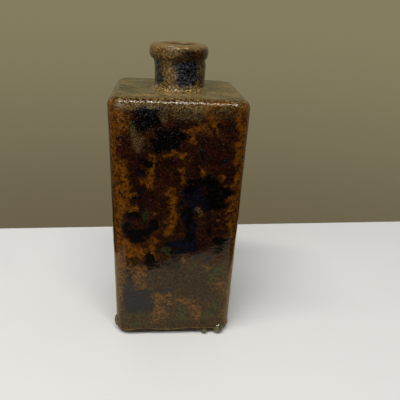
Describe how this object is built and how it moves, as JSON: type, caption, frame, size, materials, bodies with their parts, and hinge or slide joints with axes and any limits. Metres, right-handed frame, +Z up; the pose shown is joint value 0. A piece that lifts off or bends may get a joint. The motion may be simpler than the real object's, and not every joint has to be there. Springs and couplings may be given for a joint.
{
  "type": "square slab-built flask",
  "caption": "Tall square glazed stoneware flask with rounded edges, a short round neck, a rolled lip and an open mouth; it stands upright and holds liquid.",
  "frame": {"origin": "centre of the underside, on the surface that the flask stands on", "axes": "+Z up along the neck, -Y out of the front face, +X to the right of someone who looks at the front"},
  "size_m": [0.1198, 0.1201, 0.275],
  "materials": {
    "clay": "fired stoneware, matt",
    "glaze": "amber-brown transparent glaze over dark painting, glossy, finely pitted",
    "glaze_drops": "thick olive-green glassy glaze, glossy"
  },
  "bodies": {
    "root": {"floor_slab": "clay", "front_wall": "clay", "right_wall": "clay", "back_wall": "clay", "left_wall": "clay", "shoulder_slab": "clay", "floor_seam_coil": "clay", "front_right_seam_coil": "clay", "back_right_seam_coil": "clay", "back_left_seam_coil": "clay", "front_left_seam_coil": "clay", "neck_collar": "clay", "neck_coil": "clay", "lip_coil": "clay", "glaze_coat": "glaze", "right_glaze_bead": "glaze_drops", "small_glaze_bead": "glaze_drops", "left_glaze_drop": "glaze_drops"}
  },
  "joints": []
}
